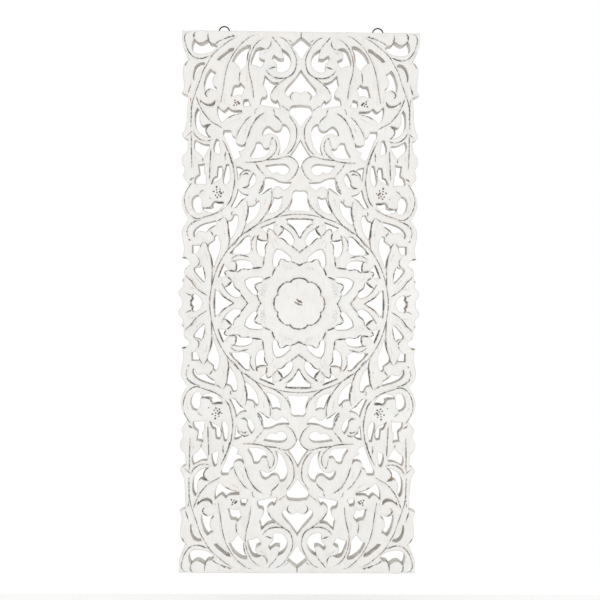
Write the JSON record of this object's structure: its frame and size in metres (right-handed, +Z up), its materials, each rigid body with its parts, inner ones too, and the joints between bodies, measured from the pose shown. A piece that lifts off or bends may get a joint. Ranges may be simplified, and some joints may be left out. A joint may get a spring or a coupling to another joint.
{
  "type": "carved wall panel",
  "caption": "Upright rectangular wall panel of whitewashed wood, pierced and carved with a round star and leaf scrolls, with wire hanging loops on its back.",
  "frame": {"origin": "on the flat back of the panel, at its middle, where it lies against the wall", "axes": "+X across the panel to the right as seen from the front, +Z up, +Y out of the back into the wall, so the carved front faces -Y"},
  "size_m": [0.4074, 0.0224, 0.9308],
  "materials": {
    "whitewashed_wood": "matt whitewash, rubbed through at the edges, with dark wax left in the carved lines",
    "black_wire": "black, slightly glossy"
  },
  "bodies": {
    "root": {"panel": "whitewashed_wood", "hanger_left": "black_wire", "hanger_right": "black_wire"}
  },
  "joints": []
}
